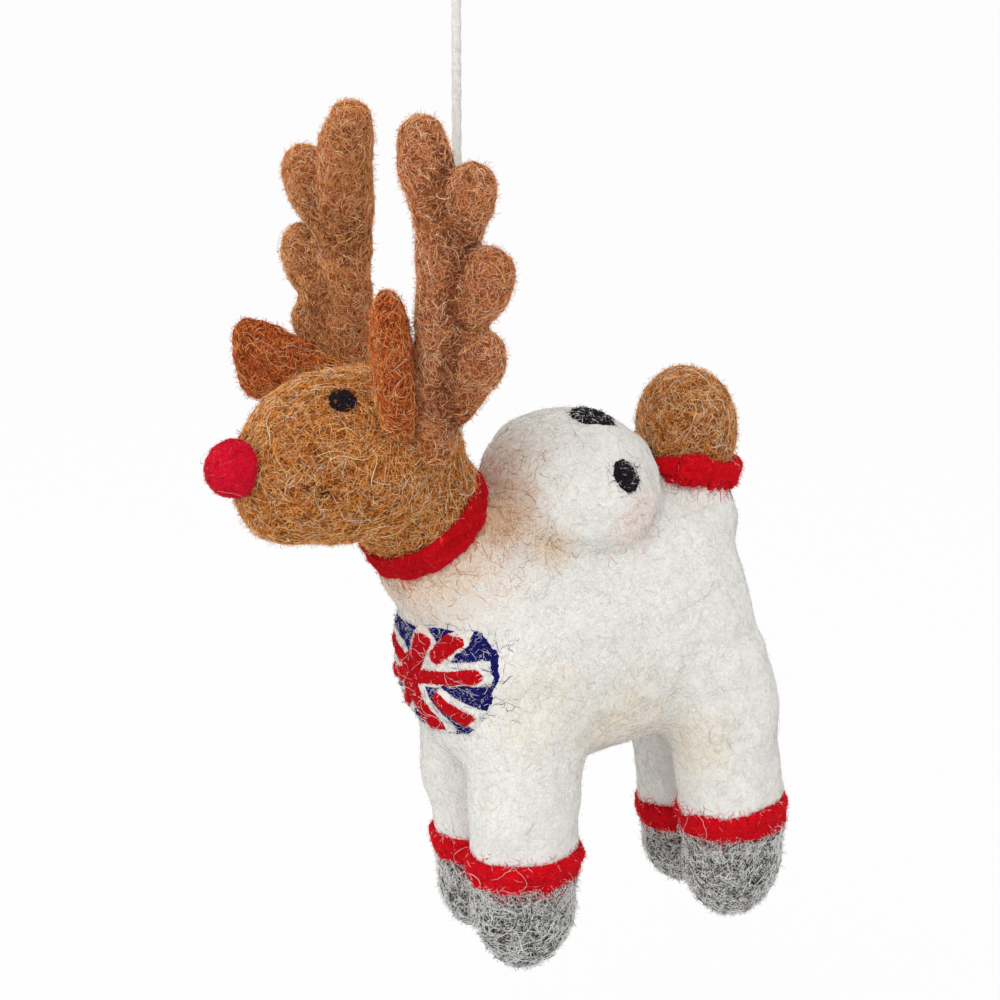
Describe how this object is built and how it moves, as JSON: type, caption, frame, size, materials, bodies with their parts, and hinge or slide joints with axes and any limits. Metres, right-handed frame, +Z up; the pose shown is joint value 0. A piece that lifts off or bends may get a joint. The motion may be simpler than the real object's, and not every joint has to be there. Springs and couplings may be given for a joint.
{
  "type": "felt christmas ornament",
  "caption": "Needle-felted wool reindeer in a white suit with red trims, a back pack and a chest flag patch, hung from a cotton cord with a knotted loop.",
  "frame": {"origin": "the top of the cord's loop, where a hook holds it", "axes": "+Z up along the cord, -Y towards the nose, +X to the animal's left"},
  "size_m": [0.0488, 0.0935, 0.1732],
  "materials": {
    "suit_wool": "needle-felted white wool with cream and tan fibres",
    "fawn_wool": "needle-felted fawn brown wool",
    "chestnut_wool": "needle-felted chestnut wool",
    "antler_wool": "needle-felted mid-brown wool",
    "red_wool": "needle-felted red wool",
    "grey_wool": "needle-felted mixed grey wool",
    "black_wool": "needle-felted black wool",
    "blue_wool": "needle-felted dark blue wool",
    "cotton_cord": "twisted off-white cotton"
  },
  "bodies": {
    "loop": {"hanging_loop": "cotton_cord", "loop_knot": "cotton_cord"},
    "cord": {"hanging_cord": "cotton_cord"},
    "reindeer": {"torso": "suit_wool", "back_pack": "suit_wool", "front_left_leg": "suit_wool", "front_right_leg": "suit_wool", "rear_left_leg": "suit_wool", "rear_right_leg": "suit_wool", "flag_white_stripes": "suit_wool", "head": "fawn_wool", "tail": "fawn_wool", "left_ear": "chestnut_wool", "right_ear": "chestnut_wool", "left_antler_beam": "antler_wool", "left_antler_upper_tine": "antler_wool", "left_antler_middle_tine": "antler_wool", "left_antler_lower_tine": "antler_wool", "right_antler_beam": "antler_wool", "right_antler_upper_tine": "antler_wool", "right_antler_middle_tine": "antler_wool", "right_antler_lower_tine": "antler_wool", "neck_band": "red_wool", "nose": "red_wool", "tail_band": "red_wool", "front_left_ankle_band": "red_wool", "front_right_ankle_band": "red_wool", "rear_left_ankle_band": "red_wool", "rear_right_ankle_band": "red_wool", "flag_red_cross": "red_wool", "flag_red_diagonal_top_left": "red_wool", "flag_red_diagonal_top_right": "red_wool", "flag_red_diagonal_bottom_left": "red_wool", "flag_red_diagonal_bottom_right": "red_wool", "front_left_hoof": "grey_wool", "front_right_hoof": "grey_wool", "rear_left_hoof": "grey_wool", "rear_right_hoof": "grey_wool", "left_eye": "black_wool", "right_eye": "black_wool", "pack_button_top": "black_wool", "pack_button_left": "black_wool", "pack_button_right": "black_wool", "flag_ground": "blue_wool", "cord_stitch": "cotton_cord"}
  },
  "joints": [
    {"name": "cord_swing", "type": "hinge", "parent": "loop", "child": "cord", "pos_m": [0, 0, -0.022], "axis": [0, 1, 0], "range_deg": [-30, 30]},
    {"name": "cord_twist", "type": "hinge", "parent": "cord", "child": "reindeer", "pos_m": [0, 0, -0.091], "axis": [0, 0, 1], "continuous": true}
  ]
}
